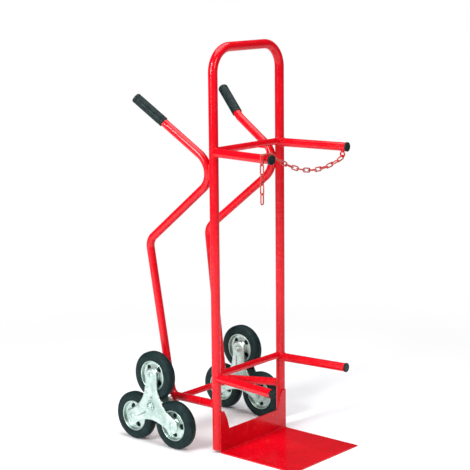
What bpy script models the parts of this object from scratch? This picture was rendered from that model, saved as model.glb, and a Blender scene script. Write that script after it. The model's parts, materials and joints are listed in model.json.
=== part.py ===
"""Stair climbing trolley for gas bottles: a tube frame on two tri-star wheel sets.

Metres, +Z up. The trolley stands on the floor at z = 0 with its toe plate to the front (-Y).
The operator stands behind it (+Y), so the operator's right is -X. Pieces are placed from the
uprights' plane, and one empty then moves them all so that the origin lies under the middle.
"""

import math

import bmesh
import bpy
from mathutils import Vector

# ---------------------------------------------------------------- driving dimensions

GAP = 0.0003                    # clearance between pieces that touch

# main frame hoop
FRAME_TUBE = 0.030
FRAME_WALL = 0.002
UPRIGHT_HALF_SPACING = 0.164
HOOP_TOP = 1.305                # centreline of the hoop's top
HOOP_BEND_RADIUS = 0.078
UPRIGHT_FOOT = 0.010            # height of the open lower ends

# cross bars between the uprights
BAR_TUBE = 0.022
BAR_WALL = 0.002
BAR_HEIGHTS = {"upper": 0.984, "lower": 0.258}

# cradle arms in front of the uprights
ARM_TUBE = 0.028
ARM_WALL = 0.002
ARM_REACH = 0.257               # from the uprights' plane to the caps' ends
ARM_TIP_OUTSIDE_UPRIGHT = 0.028
ARM_HEIGHTS = {"upper": 0.980, "lower": 0.250}
ARM_CAP_WALL = 0.0010
ARM_CAP_SKIRT = 0.004
ARM_CAP_END = 0.003

# handle and leg tube, right side, from the grip down to the stay
HANDLE_TUBE = 0.027
HANDLE_WALL = 0.002
ELBOW_INSIDE_UPRIGHT = 0.006
ELBOW_HEIGHT = 0.919
ELBOW_BEND_RADIUS = 0.069
HANDLE_RUN_PITCH = math.radians(33.3)
HANDLE_RUN_DEPTH = 0.201        # along Y, from the elbow's corner to the grip's kink
KINK_OUTSIDE_ELBOW = 0.017
KINK_BEND_RADIUS = 0.060
GRIP_END_OFFSET = Vector((-0.037, 0.105, 0.088))
LEG_RUN_PITCH = math.radians(38.5)
LEG_RUN_DEPTH = 0.323           # along Y, from the elbow's corner to the knee's corner
KNEE_INSIDE_ELBOW = 0.012
KNEE_BEND_RADIUS = 0.045
LEG_FOOT_INSIDE_KNEE = 0.018
LEG_FOOT_BEHIND_AXLE = 0.011
LEG_FOOT_ABOVE_AXLE = 0.010
LEG_FOOT_BEND_RADIUS = 0.030
STAY_END_HEIGHT = 0.160

# grips
GRIP_LENGTH = 0.122
GRIP_WALL = 0.0032
GRIP_END = 0.004

# toe plate
PLATE_THICKNESS = 0.004
PLATE_OUTSIDE_UPRIGHT = 0.004   # past the upright's axis
PLATE_REACH = 0.320             # from the uprights' plane to the front edge
PLATE_BEND_RADIUS = 0.008
BACK_HEIGHT = 0.074
EAR_HEIGHT = 0.138
EAR_FOOT_INSIDE_UPRIGHT = 0.039 # where the ears run out into the back's top edge
EAR_TOP_INSIDE_UPRIGHT = 0.014
EAR_BOW = 0.003

# tri-star wheel sets
WHEEL_RADIUS = 0.080
TYRE_WIDTH = 0.036
TYRE_SHOULDER = 0.007           # how far the tread's edges fall from the crown
TYRE_SHOULDER_WIDTH = 0.002
TYRE_CROWN_FALL = 0.0012        # at half the tread's half width
RIM_RADIUS = 0.0515
RIM_LIP = 0.006
RIM_HALF_WIDTH = 0.0155
WEB_HALF_THICKNESS = 0.0025
WHEEL_BOSS_RADIUS = 0.012
WHEEL_BOSS_HALF_WIDTH = 0.0195
TYRE_SPACE = 0.0167             # between neighbouring tyres of one star
STAR_HALF_SPACING = 0.221       # wheels' middle plane
STAR_LOBE_RADIUS = 0.026
STAR_WAIST = 0.047              # from the axle to the hollow between two arms
STAR_PLATE = 0.003
STAR_PLATE_CLEARANCE = 0.0015   # between the wheel boss and each star plate
AXLE_BEHIND_UPRIGHTS = 0.218

# axle
SHAFT_RADIUS = 0.008
SHAFT_RUNNING_GAP = 0.0005
AXLE_TUBE = 0.021
AXLE_TUBE_OUTSIDE_LEG = 0.006
HUB_WALL = 0.0045
HUB_PROUD = 0.002               # how far the hub stands out of each star plate
SPACER_WALL = 0.003
AXLE_CAP_LENGTH = 0.011
AXLE_CAP_WALL = 0.003
AXLE_CAP_FLANGE = 0.004
AXLE_CAP_FLANGE_THICKNESS = 0.0025

# wheel bolts and nuts
BOLT_RADIUS = 0.005
BOLT_RUNNING_GAP = 0.0005
BOLT_HEAD_RADIUS = 0.010
BOLT_HEAD = 0.003
NUT_RADIUS = 0.0105             # across its corners
NUT_HEIGHT = 0.008
BOLT_TAIL = 0.002               # thread showing past the nut

# chain and its fittings
HOOK_ROD = 0.006
HOOK_RISE = 0.0225              # from the arm's top to the rod's bent part
HOOK_LENGTH = 0.035
HOOK_BEND_RADIUS = 0.007
FITTING_CAP_CLEARANCE = 0.0015  # between the eye and the cap in front of it
EYE_RING_RADIUS = 0.008
EYE_ROD = 0.005
CHAIN_RADIUS = 0.006
CHAIN_SAG = 0.047
CHAIN_EYE_CLEARANCE = 0.0065
CHAIN_ARM_CLEARANCE = 0.0006
CHAIN_LEAN = math.radians(40.0)     # where the chain leaves the arm, from its top
TAIL_LENGTH = 0.150
TAIL_SIDE_CLEARANCE = 0.0045

# segments of round pieces
TUBE_BEVEL_RESOLUTION = 4
TUBE_SIDES = 4 + 2 * TUBE_BEVEL_RESOLUTION
ROD_BEVEL_RESOLUTION = 2
ROD_SIDES = 4 + 2 * ROD_BEVEL_RESOLUTION
ARC_STEP = math.radians(15.0)
WHEEL_STEPS = 24
SMALL_STEPS = 16
BOLT_STEPS = 12
NUT_STEPS = 6
LOBE_STEPS = 8
HOLLOW_STEPS = 6
PLATE_BEND_STEPS = 4
EAR_STEPS = 6
CHAIN_STEPS = 12
SHARP_ANGLE = math.radians(40.0)
CUTTER_OVERRUN = 0.05           # how far a cutter reaches past what it cuts

MERGE = 0.00001

# ---------------------------------------------------------------- derived places

FRAME_R = FRAME_TUBE / 2
ARM_R = ARM_TUBE / 2
HANDLE_R = HANDLE_TUBE / 2
AXLE_R = AXLE_TUBE / 2

ARM_TIP_HALF_SPACING = UPRIGHT_HALF_SPACING + ARM_TIP_OUTSIDE_UPRIGHT
ELBOW_HALF_SPACING = UPRIGHT_HALF_SPACING - ELBOW_INSIDE_UPRIGHT
KINK_HALF_SPACING = ELBOW_HALF_SPACING + KINK_OUTSIDE_ELBOW
KNEE_HALF_SPACING = ELBOW_HALF_SPACING - KNEE_INSIDE_ELBOW
LEG_FOOT_HALF_SPACING = KNEE_HALF_SPACING - LEG_FOOT_INSIDE_KNEE
PLATE_HALF_WIDTH = UPRIGHT_HALF_SPACING + PLATE_OUTSIDE_UPRIGHT
EAR_FOOT_HALF_SPACING = UPRIGHT_HALF_SPACING - EAR_FOOT_INSIDE_UPRIGHT
EAR_TOP_HALF_SPACING = UPRIGHT_HALF_SPACING - EAR_TOP_INSIDE_UPRIGHT

STAR_RADIUS = (2 * WHEEL_RADIUS + TYRE_SPACE) / math.sqrt(3)    # from the axle to a wheel's centre
AXLE_Y = AXLE_BEHIND_UPRIGHTS
AXLE_Z = WHEEL_RADIUS + STAR_RADIUS / 2
STAR_ARM_ANGLES = [math.radians(a) for a in (90, 210, 330)]
HALF_ARM_ANGLE = math.radians(60)
REAR_Y = AXLE_Y + STAR_RADIUS * math.cos(STAR_ARM_ANGLES[2]) + WHEEL_RADIUS
MIDDLE_Y = (REAR_Y - PLATE_REACH) / 2

PLATE_INNER = STAR_HALF_SPACING - WHEEL_BOSS_HALF_WIDTH - STAR_PLATE_CLEARANCE
PLATE_OUTER = STAR_HALF_SPACING + WHEEL_BOSS_HALF_WIDTH + STAR_PLATE_CLEARANCE
HUB_BORE = SHAFT_RADIUS + SHAFT_RUNNING_GAP
HUB_RADIUS = HUB_BORE + HUB_WALL
HUB_INNER = PLATE_INNER - STAR_PLATE - HUB_PROUD
HUB_OUTER = PLATE_OUTER + STAR_PLATE + HUB_PROUD
AXLE_TUBE_END = LEG_FOOT_HALF_SPACING + HANDLE_R + AXLE_TUBE_OUTSIDE_LEG
SHAFT_END = HUB_OUTER + AXLE_CAP_LENGTH - AXLE_CAP_WALL - 2 * GAP

ARM_SPLAY = math.atan2(ARM_TIP_HALF_SPACING - UPRIGHT_HALF_SPACING, ARM_REACH)
ARM_LENGTH = ARM_REACH / math.cos(ARM_SPLAY)
FITTING_SETBACK = ARM_CAP_END + ARM_CAP_SKIRT + FITTING_CAP_CLEARANCE + EYE_RING_RADIUS + EYE_ROD / 2
CHAIN_Y = -(ARM_REACH - FITTING_SETBACK)
CHAIN_ARM_X = UPRIGHT_HALF_SPACING - CHAIN_Y * math.tan(ARM_SPLAY)

# ---------------------------------------------------------------- materials

MATERIALS = {
    "red_paint": ((0.62, 0.008, 0.014), 0.28, 0.0),
    "zinc_plate": ((0.72, 0.75, 0.74), 0.35, 0.9),
    "tyre_rubber": ((0.022, 0.026, 0.028), 0.75, 0.0),
    "grip_rubber": ((0.030, 0.042, 0.044), 0.65, 0.0),
    "cap_plastic": ((0.018, 0.022, 0.022), 0.45, 0.0),
    "chain_paint": ((0.45, 0.045, 0.030), 0.40, 0.3),
}


def material(name):
    """The named Principled material, made the first time it is asked for."""
    found = bpy.data.materials.get(name)
    if found:
        return found
    colour, roughness, metallic = MATERIALS[name]
    made = bpy.data.materials.new(name)
    made.use_nodes = True
    shader = made.node_tree.nodes["Principled BSDF"]
    shader.inputs["Base Color"].default_value = (*colour, 1.0)
    shader.inputs["Roughness"].default_value = roughness
    shader.inputs["Metallic"].default_value = metallic
    return made


# ---------------------------------------------------------------- scene and collections

def clear_scene():
    for obj in list(bpy.data.objects):
        bpy.data.objects.remove(obj, do_unlink=True)


def new_collection(name):
    made = bpy.data.collections.new(name)
    bpy.context.scene.collection.children.link(made)
    return made


def add(name, data, material_name, parent):
    """A part's object, in the parts collection."""
    obj = bpy.data.objects.new(name, data)
    PARTS.objects.link(obj)
    data.materials.clear()
    data.materials.append(material(material_name))
    obj.parent = parent
    return obj


def empty(name, place, parent=None):
    """An empty on a joint's axis. Its place is measured from the uprights' plane."""
    obj = bpy.data.objects.new(name, None)
    PARTS.objects.link(obj)
    obj.empty_display_size = 0.03
    PLACES[name] = Vector(place)
    obj.parent = parent
    obj.location = PLACES[name] - PLACES[parent.name] if parent else PLACES[name]
    return obj


def cutter(name, mesh):
    obj = bpy.data.objects.new(name, mesh)
    CUTTERS.objects.link(obj)
    obj.parent = FRAME
    obj.hide_render = True
    obj.display_type = "WIRE"
    return obj


def cut(obj, tool):
    """Cuts the tool's shape out of the object."""
    modifier = obj.modifiers.new("cut_" + tool.name, "BOOLEAN")
    modifier.operation = "DIFFERENCE"
    modifier.solver = "EXACT"
    modifier.object = tool


def mirrored(points):
    return [Vector((-p.x, p.y, p.z)) for p in points]


SIDES = {"right": -1, "left": 1}        # sign of X

# ---------------------------------------------------------------- shape helpers


def rounded_path(corners, radii):
    """The corners joined by straight runs, with an arc of each inner corner's radius."""
    path = [Vector(corners[0])]
    for before, corner, after, radius in zip(corners, corners[1:], corners[2:], radii):
        back = (before - corner).normalized()
        ahead = (after - corner).normalized()
        half = back.angle(ahead) / 2
        bisector = (back + ahead).normalized()
        centre = corner + bisector * radius / math.sin(half)
        turn = math.pi - 2 * half
        steps = max(2, round(turn / ARC_STEP))
        start = corner + back * radius / math.tan(half) - centre
        for i in range(steps + 1):
            angle = turn * i / steps
            path.append(centre + start * math.cos(angle) - back * radius * math.sin(angle))
    path.append(Vector(corners[-1]))
    return path


def sweep_mesh(name, path, diameter, wall=None, resolution=TUBE_BEVEL_RESOLUTION):
    """A closed mesh swept round along a path: a tube with open ends, or a solid rod without a wall."""
    curve = bpy.data.curves.new(name + "_path", "CURVE")
    curve.dimensions = "3D"
    curve.bevel_depth = diameter / 2
    curve.bevel_resolution = resolution
    curve.use_fill_caps = wall is None
    spline = curve.splines.new("POLY")
    spline.points.add(len(path) - 1)
    for point, place in zip(spline.points, path):
        point.co = (*place, 1.0)
    guide = bpy.data.objects.new(name + "_path", curve)
    bpy.context.scene.collection.objects.link(guide)
    if wall:
        shell = guide.modifiers.new("wall", "SOLIDIFY")
        shell.thickness = wall
        shell.offset = -1.0
        shell.use_even_offset = True
        shell.use_rim = True
    bpy.context.view_layer.update()
    graph = bpy.context.evaluated_depsgraph_get()
    mesh = bpy.data.meshes.new_from_object(guide.evaluated_get(graph))
    bpy.data.objects.remove(guide)
    bpy.data.curves.remove(curve)
    shape = bmesh.new()
    shape.from_mesh(mesh)
    bmesh.ops.remove_doubles(shape, verts=shape.verts, dist=MERGE)
    bmesh.ops.recalc_face_normals(shape, faces=shape.faces)
    shape.to_mesh(mesh)
    shape.free()
    mesh.name = name
    mesh.shade_smooth()
    mesh.set_sharp_from_angle(angle=SHARP_ANGLE)
    return mesh


def turned(name, profile, steps, material_name, parent):
    """A turned piece on its own Z axis. The profile's (radius, height) points run down its
    outer side and back up its inner side; it is closed unless both its ends lie on the axis."""
    mesh = bpy.data.meshes.new(name)
    shape = bmesh.new()
    points = [shape.verts.new((radius, 0.0, height)) for radius, height in profile]
    on_axis = profile[0][0] == 0.0 and profile[-1][0] == 0.0
    followers = points[1:] if on_axis else points[1:] + points[:1]
    for start, end in zip(points, followers):
        shape.edges.new((start, end))
    shape.to_mesh(mesh)
    shape.free()
    obj = add(name, mesh, material_name, parent)
    screw = obj.modifiers.new("turn", "SCREW")
    screw.steps = steps
    screw.render_steps = steps
    screw.use_merge_vertices = True
    screw.merge_threshold = MERGE
    screw.use_smooth_shade = False
    return obj


def along_x(obj, place, sign=1):
    """Lays a turned piece's axis along X, its top towards the sign, at a place under its parent."""
    obj.rotation_euler = (0.0, sign * math.pi / 2, 0.0)
    obj.location = place


def plate_curve(name, outlines, thickness):
    """A plate from closed 2D outlines in its own XY plane; outlines inside another are holes."""
    curve = bpy.data.curves.new(name, "CURVE")
    curve.dimensions = "2D"
    curve.fill_mode = "BOTH"
    curve.extrude = thickness / 2
    for outline in outlines:
        spline = curve.splines.new("POLY")
        spline.points.add(len(outline) - 1)
        for point, (x, y) in zip(spline.points, outline):
            point.co = (x, y, 0.0, 1.0)
        spline.use_cyclic_u = True
    return curve


def around(diameter):
    """The diameter of a swept cutter whose flat sides clear a round piece of this diameter."""
    return (diameter + 2 * GAP) / math.cos(math.pi / TUBE_SIDES)


def circle(centre, radius, steps):
    return [
        (
            centre[0] + radius * math.cos(math.tau * i / steps),
            centre[1] + radius * math.sin(math.tau * i / steps),
        )
        for i in range(steps)
    ]


def arc(centre, radius, start, end, steps):
    return [
        (
            centre[0] + radius * math.cos(start + (end - start) * i / steps),
            centre[1] + radius * math.sin(start + (end - start) * i / steps),
        )
        for i in range(steps + 1)
    ]


# ---------------------------------------------------------------- frame


def hoop_corners():
    x = UPRIGHT_HALF_SPACING
    return [
        Vector((-x, 0, UPRIGHT_FOOT)),
        Vector((-x, 0, HOOP_TOP)),
        Vector((x, 0, HOOP_TOP)),
        Vector((x, 0, UPRIGHT_FOOT)),
    ]


def make_hoop():
    path = rounded_path(hoop_corners(), [HOOP_BEND_RADIUS] * 2)
    add("main_hoop", sweep_mesh("main_hoop", path, FRAME_TUBE, FRAME_WALL), "red_paint", FRAME)


def upright_cutters():
    """A rod round each upright, a gap larger, that shapes the ends of what is welded to it."""
    tools = {}
    for side, sign in SIDES.items():
        x = sign * UPRIGHT_HALF_SPACING
        path = [Vector((x, 0, -CUTTER_OVERRUN)), Vector((x, 0, HOOP_TOP - HOOP_BEND_RADIUS))]
        mesh = sweep_mesh("upright_cutter_" + side, path, around(FRAME_TUBE))
        tools[side] = cutter("upright_cutter_" + side, mesh)
    return tools


def make_cross_bars(uprights):
    """The two bars, and a cutter round each for the arms that pass its ends."""
    tools = {}
    for level, height in BAR_HEIGHTS.items():
        x = UPRIGHT_HALF_SPACING
        path = [Vector((-x, 0, height)), Vector((x, 0, height))]
        name = level + "_cross_bar"
        bar = add(name, sweep_mesh(name, path, BAR_TUBE, BAR_WALL), "red_paint", FRAME)
        for tool in uprights.values():
            cut(bar, tool)
        mesh = sweep_mesh(name + "_cutter", path, around(BAR_TUBE))
        tools[level] = cutter(name + "_cutter", mesh)
    return tools


def arm_point(sign, height, along):
    """A point on an arm's centreline, at a distance along it from the upright's axis."""
    return Vector((
        sign * (UPRIGHT_HALF_SPACING + along * math.sin(ARM_SPLAY)),
        -along * math.cos(ARM_SPLAY),
        height,
    ))


def make_arms(uprights, bars):
    cap_radius = ARM_R + GAP + ARM_CAP_WALL
    tube_end = ARM_LENGTH - ARM_CAP_END - GAP
    for level, height in ARM_HEIGHTS.items():
        for side, sign in SIDES.items():
            name = f"{level}_arm_{side}"
            path = [arm_point(sign, height, 0.0), arm_point(sign, height, tube_end)]
            arm = add(name, sweep_mesh(name, path, ARM_TUBE, ARM_WALL), "red_paint", FRAME)
            cut(arm, uprights[side])
            cut(arm, bars[level])
            profile = [
                (0.0, 0.0),
                (cap_radius - ARM_CAP_WALL, 0.0),
                (cap_radius, -ARM_CAP_WALL),
                (cap_radius, -ARM_CAP_END - ARM_CAP_SKIRT),
                (ARM_R + GAP, -ARM_CAP_END - ARM_CAP_SKIRT),
                (ARM_R + GAP, -ARM_CAP_END),
                (0.0, -ARM_CAP_END),
            ]
            cap = turned(name + "_cap", profile, SMALL_STEPS, "cap_plastic", FRAME)
            cap.location = arm_point(sign, height, ARM_LENGTH)
            cap.rotation_euler = aim(path[1] - path[0])


def aim(direction):
    """The rotation that turns a piece's own Z axis to a direction."""
    return direction.to_track_quat("Z", "Y").to_euler()


def handle_corners():
    """Corners of the right tube's centreline, from the grip's end down to the stay's end."""
    seat = FRAME_R + HANDLE_R + GAP
    half = (HANDLE_RUN_PITCH + LEG_RUN_PITCH) / 2
    elbow_y = seat - ELBOW_BEND_RADIUS * (1 / math.sin(half) - 1)
    elbow = Vector((-ELBOW_HALF_SPACING, elbow_y, ELBOW_HEIGHT))
    kink = Vector((
        -KINK_HALF_SPACING,
        elbow.y + HANDLE_RUN_DEPTH,
        elbow.z + HANDLE_RUN_DEPTH * math.tan(HANDLE_RUN_PITCH),
    ))
    knee = Vector((
        -KNEE_HALF_SPACING,
        elbow.y + LEG_RUN_DEPTH,
        elbow.z - LEG_RUN_DEPTH * math.tan(LEG_RUN_PITCH),
    ))
    foot = Vector((
        -LEG_FOOT_HALF_SPACING,
        AXLE_Y + LEG_FOOT_BEHIND_AXLE,
        AXLE_Z + LEG_FOOT_ABOVE_AXLE,
    ))
    stay_end = Vector((-UPRIGHT_HALF_SPACING, 0, STAY_END_HEIGHT))
    return [kink + GRIP_END_OFFSET, kink, elbow, knee, foot, stay_end]


def make_handle_tubes(uprights, axle_tool):
    radii = [KINK_BEND_RADIUS, ELBOW_BEND_RADIUS, KNEE_BEND_RADIUS, LEG_FOOT_BEND_RADIUS]
    for side, sign in SIDES.items():
        corners = handle_corners()
        if sign > 0:
            corners = mirrored(corners)
        name = "handle_leg_tube_" + side
        mesh = sweep_mesh(name, rounded_path(corners, radii), HANDLE_TUBE, HANDLE_WALL)
        tube = add(name, mesh, "red_paint", FRAME)
        cut(tube, uprights[side])
        cut(tube, axle_tool)
        make_grip(side, corners)


def make_grip(side, corners):
    end, kink = corners[:2]
    bore = HANDLE_R + GAP
    profile = [
        (0.0, GRIP_END + GAP),
        (bore, GRIP_END + GAP),
        (bore + GRIP_WALL, GAP),
        (bore + GRIP_WALL, GRIP_END - GRIP_LENGTH),
        (bore, GRIP_END - GRIP_LENGTH),
        (bore, GAP),
        (0.0, GAP),
    ]
    grip = turned("grip_" + side, profile, SMALL_STEPS, "grip_rubber", FRAME)
    grip.location = end
    grip.rotation_euler = aim(end - kink)


def make_toe_plate():
    """One bent sheet: toe, bend and back, with the window between the two ears cut away."""
    back_y = -(FRAME_R + GAP)
    bend_y = back_y - PLATE_BEND_RADIUS
    corner = (bend_y, PLATE_BEND_RADIUS)
    section = [(-PLATE_REACH, 0.0)]
    section += arc(corner, PLATE_BEND_RADIUS, -math.pi / 2, 0.0, PLATE_BEND_STEPS)
    section += [(back_y, EAR_HEIGHT)]
    mesh = bpy.data.meshes.new("toe_plate")
    shape = bmesh.new()
    rows = [
        [shape.verts.new((x, y, z)) for y, z in section]
        for x in (-PLATE_HALF_WIDTH, PLATE_HALF_WIDTH)
    ]
    for i in range(len(section) - 1):
        shape.faces.new((rows[0][i], rows[0][i + 1], rows[1][i + 1], rows[1][i]))
    bmesh.ops.recalc_face_normals(shape, faces=shape.faces)
    shape.normal_update()
    if shape.faces[:][0].normal.z > 0:
        bmesh.ops.reverse_faces(shape, faces=shape.faces)
    shape.to_mesh(mesh)
    shape.free()
    plate = add("toe_plate", mesh, "red_paint", FRAME)
    sheet = plate.modifiers.new("sheet", "SOLIDIFY")
    sheet.thickness = PLATE_THICKNESS
    sheet.offset = -1.0
    sheet.use_even_offset = True
    cut(plate, ear_cutter())


def ear_cutter():
    """A block as wide as the window between the ears, with their slightly hollow edges."""
    side = []
    for i in range(EAR_STEPS + 1):
        share = i / EAR_STEPS
        x = EAR_FOOT_HALF_SPACING + (EAR_TOP_HALF_SPACING - EAR_FOOT_HALF_SPACING) * share
        bow = EAR_BOW * math.sin(math.pi * share)
        side.append((x - bow, BACK_HEIGHT + (EAR_HEIGHT - BACK_HEIGHT) * share))
    side.append((EAR_TOP_HALF_SPACING, EAR_HEIGHT + CUTTER_OVERRUN))
    outline = side + [(-x, z) for x, z in reversed(side)]
    mesh = bpy.data.meshes.new("ear_cutter")
    shape = bmesh.new()
    front = [shape.verts.new((x, -CUTTER_OVERRUN, z)) for x, z in outline]
    face = shape.faces.new(front)
    made = bmesh.ops.extrude_face_region(shape, geom=[face])["geom"]
    moved = [v for v in made if isinstance(v, bmesh.types.BMVert)]
    bmesh.ops.translate(shape, verts=moved, vec=(0, 2 * CUTTER_OVERRUN, 0))
    bmesh.ops.recalc_face_normals(shape, faces=shape.faces)
    shape.to_mesh(mesh)
    shape.free()
    return cutter("ear_cutter", mesh)


# ---------------------------------------------------------------- axle


def axle_cutter():
    path = [Vector((-AXLE_TUBE_END, AXLE_Y, AXLE_Z)), Vector((AXLE_TUBE_END, AXLE_Y, AXLE_Z))]
    return cutter("axle_cutter", sweep_mesh("axle_cutter", path, around(AXLE_TUBE)))


def sleeve(name, inner, outer, start, end, material_name, parent):
    """A plain tube on the axle's line, between two places along X from its parent."""
    half = (end - start) / 2
    profile = [(outer, half), (outer, -half), (inner, -half), (inner, half)]
    obj = turned(name, profile, SMALL_STEPS, material_name, parent)
    along_x(obj, ((start + end) / 2, 0, 0))
    return obj


def make_axle():
    bore = SHAFT_RADIUS + GAP
    sleeve("axle_tube", bore, AXLE_R, -AXLE_TUBE_END, AXLE_TUBE_END, "red_paint", AXLE)
    profile = [(0.0, SHAFT_END), (SHAFT_RADIUS, SHAFT_END), (SHAFT_RADIUS, -SHAFT_END), (0.0, -SHAFT_END)]
    shaft = turned("axle_shaft", profile, SMALL_STEPS, "zinc_plate", AXLE)
    along_x(shaft, (0, 0, 0))
    for side, sign in SIDES.items():
        ends = sorted((sign * (AXLE_TUBE_END + GAP), sign * (HUB_INNER - GAP)))
        sleeve(f"axle_spacer_{side}", bore, bore + SPACER_WALL, *ends, "zinc_plate", AXLE)
        cap_r = bore + AXLE_CAP_WALL
        flange_r = cap_r + AXLE_CAP_FLANGE
        profile = [
            (0.0, AXLE_CAP_LENGTH),
            (cap_r - AXLE_CAP_WALL, AXLE_CAP_LENGTH),
            (cap_r, AXLE_CAP_LENGTH - AXLE_CAP_WALL),
            (cap_r, AXLE_CAP_FLANGE_THICKNESS),
            (flange_r, AXLE_CAP_FLANGE_THICKNESS),
            (flange_r, GAP),
            (bore, GAP),
            (bore, AXLE_CAP_LENGTH - AXLE_CAP_WALL),
            (0.0, AXLE_CAP_LENGTH - AXLE_CAP_WALL),
        ]
        cap = turned(f"axle_cap_{side}", profile, SMALL_STEPS, "zinc_plate", AXLE)
        along_x(cap, (sign * HUB_OUTER, 0, 0), sign)


# ---------------------------------------------------------------- tri-star wheel sets


def wheel_offset(angle):
    """A wheel's centre from the axle, in the star's plane: (Y, Z)."""
    return STAR_RADIUS * math.cos(angle), STAR_RADIUS * math.sin(angle)


def star_outline():
    """Three round lobes joined by hollow arcs that touch them and pass the waist distance."""
    lobe = STAR_LOBE_RADIUS
    waist = STAR_WAIST
    reach = STAR_RADIUS
    shift = waist - lobe
    distance = (reach ** 2 - shift ** 2) / (2 * (reach * math.cos(HALF_ARM_ANGLE) - shift))
    hollow = distance - waist
    lean = math.asin(distance * math.sin(HALF_ARM_ANGLE) / (hollow + lobe))
    lobe_half = math.pi - lean
    hollow_half = math.pi - HALF_ARM_ANGLE - lean
    points = []
    for angle in STAR_ARM_ANGLES:
        centre = (reach * math.cos(angle), reach * math.sin(angle))
        points += arc(centre, lobe, angle - lobe_half, angle + lobe_half, LOBE_STEPS)
        between = angle + HALF_ARM_ANGLE
        middle = (distance * math.cos(between), distance * math.sin(between))
        facing = between + math.pi
        points += arc(middle, hollow, facing + hollow_half, facing - hollow_half, HOLLOW_STEPS)[1:-1]
    return points


def make_star(side, sign):
    hub = empty("star_axis_" + side, (sign * STAR_HALF_SPACING, AXLE_Y, AXLE_Z), FRAME)
    bolt_bore = BOLT_RADIUS + GAP
    holes = [circle((0, 0), HUB_RADIUS + GAP, SMALL_STEPS)]
    holes += [circle(wheel_offset(a), bolt_bore, BOLT_STEPS) for a in STAR_ARM_ANGLES]
    for layer, inner_face in (("outer", PLATE_OUTER), ("inner", PLATE_INNER - STAR_PLATE)):
        name = f"star_plate_{layer}_{side}"
        curve = plate_curve(name, [star_outline()] + holes, STAR_PLATE)
        plate = add(name, curve, "zinc_plate", hub)
        middle = inner_face + STAR_PLATE / 2 - STAR_HALF_SPACING
        plate.location = (sign * middle, 0, 0)
        plate.rotation_euler = (math.pi / 2, 0, math.pi / 2)
    ends = sorted(sign * (x - STAR_HALF_SPACING) for x in (HUB_INNER, HUB_OUTER))
    sleeve("star_hub_" + side, HUB_BORE, HUB_RADIUS, *ends, "zinc_plate", hub)
    for place, angle in zip(("top", "rear", "front"), star_angles()):
        make_wheel(f"{side}_{place}", sign, angle, hub)


def star_angles():
    """Arm angles in the world's (Y, Z) plane: one up, one down to the rear, one to the front."""
    return STAR_ARM_ANGLES[0], STAR_ARM_ANGLES[2], STAR_ARM_ANGLES[1]


def make_wheel(label, sign, angle, hub):
    y, z = wheel_offset(angle)
    place = PLACES[hub.name] + Vector((0, y, z))
    axis = empty("wheel_axis_" + label, place, hub)
    make_tyre(label, axis)
    make_rim(label, axis)
    make_bolt(label, sign, hub, (0, y, z))


def make_tyre(label, axis):
    half = TYRE_WIDTH / 2
    crown = WHEEL_RADIUS
    inside = RIM_RADIUS + GAP
    profile = [
        (crown - TYRE_SHOULDER, half - TYRE_SHOULDER_WIDTH),
        (crown - TYRE_CROWN_FALL, half / 2),
        (crown, 0.0),
        (crown - TYRE_CROWN_FALL, -half / 2),
        (crown - TYRE_SHOULDER, TYRE_SHOULDER_WIDTH - half),
        (inside, -half),
        (inside, half),
    ]
    tyre = turned("tyre_" + label, profile, WHEEL_STEPS, "tyre_rubber", axis)
    along_x(tyre, (0, 0, 0))


def make_rim(label, axis):
    bore = BOLT_RADIUS + BOLT_RUNNING_GAP
    lip = RIM_RADIUS - RIM_LIP
    profile = [
        (RIM_RADIUS, RIM_HALF_WIDTH),
        (RIM_RADIUS, -RIM_HALF_WIDTH),
        (lip, -RIM_HALF_WIDTH),
        (lip, -WEB_HALF_THICKNESS),
        (WHEEL_BOSS_RADIUS, -WEB_HALF_THICKNESS),
        (WHEEL_BOSS_RADIUS, -WHEEL_BOSS_HALF_WIDTH),
        (bore, -WHEEL_BOSS_HALF_WIDTH),
        (bore, WHEEL_BOSS_HALF_WIDTH),
        (WHEEL_BOSS_RADIUS, WHEEL_BOSS_HALF_WIDTH),
        (WHEEL_BOSS_RADIUS, WEB_HALF_THICKNESS),
        (lip, WEB_HALF_THICKNESS),
        (lip, RIM_HALF_WIDTH),
    ]
    rim = turned("wheel_centre_" + label, profile, WHEEL_STEPS, "zinc_plate", axis)
    along_x(rim, (0, 0, 0))


def make_bolt(label, sign, hub, place):
    """A round-headed bolt from outside, and its nut inside. Heights run outwards along the axle."""
    outer = PLATE_OUTER + STAR_PLATE + GAP - STAR_HALF_SPACING
    inner = PLATE_INNER - STAR_PLATE - GAP - STAR_HALF_SPACING
    nut_end = inner - NUT_HEIGHT
    profile = [
        (0.0, outer + BOLT_HEAD),
        (BOLT_HEAD_RADIUS - BOLT_HEAD / 2, outer + BOLT_HEAD),
        (BOLT_HEAD_RADIUS, outer),
        (BOLT_RADIUS, outer),
        (BOLT_RADIUS, nut_end - BOLT_TAIL),
        (0.0, nut_end - BOLT_TAIL),
    ]
    bolt = turned("wheel_bolt_" + label, profile, BOLT_STEPS, "zinc_plate", hub)
    along_x(bolt, place, sign)
    nut = hex_nut("wheel_nut_" + label, NUT_HEIGHT, hub)
    nut.location = (sign * (inner + nut_end) / 2, place[1], place[2])


def hex_nut(name, height, parent):
    """A nut whose own Z axis lies along X."""
    outlines = [circle((0, 0), NUT_RADIUS, NUT_STEPS), circle((0, 0), BOLT_RADIUS + GAP, BOLT_STEPS)]
    nut = add(name, plate_curve(name, outlines, height), "zinc_plate", parent)
    nut.rotation_euler = (0, math.pi / 2, 0)
    return nut


# ---------------------------------------------------------------- chain


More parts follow.
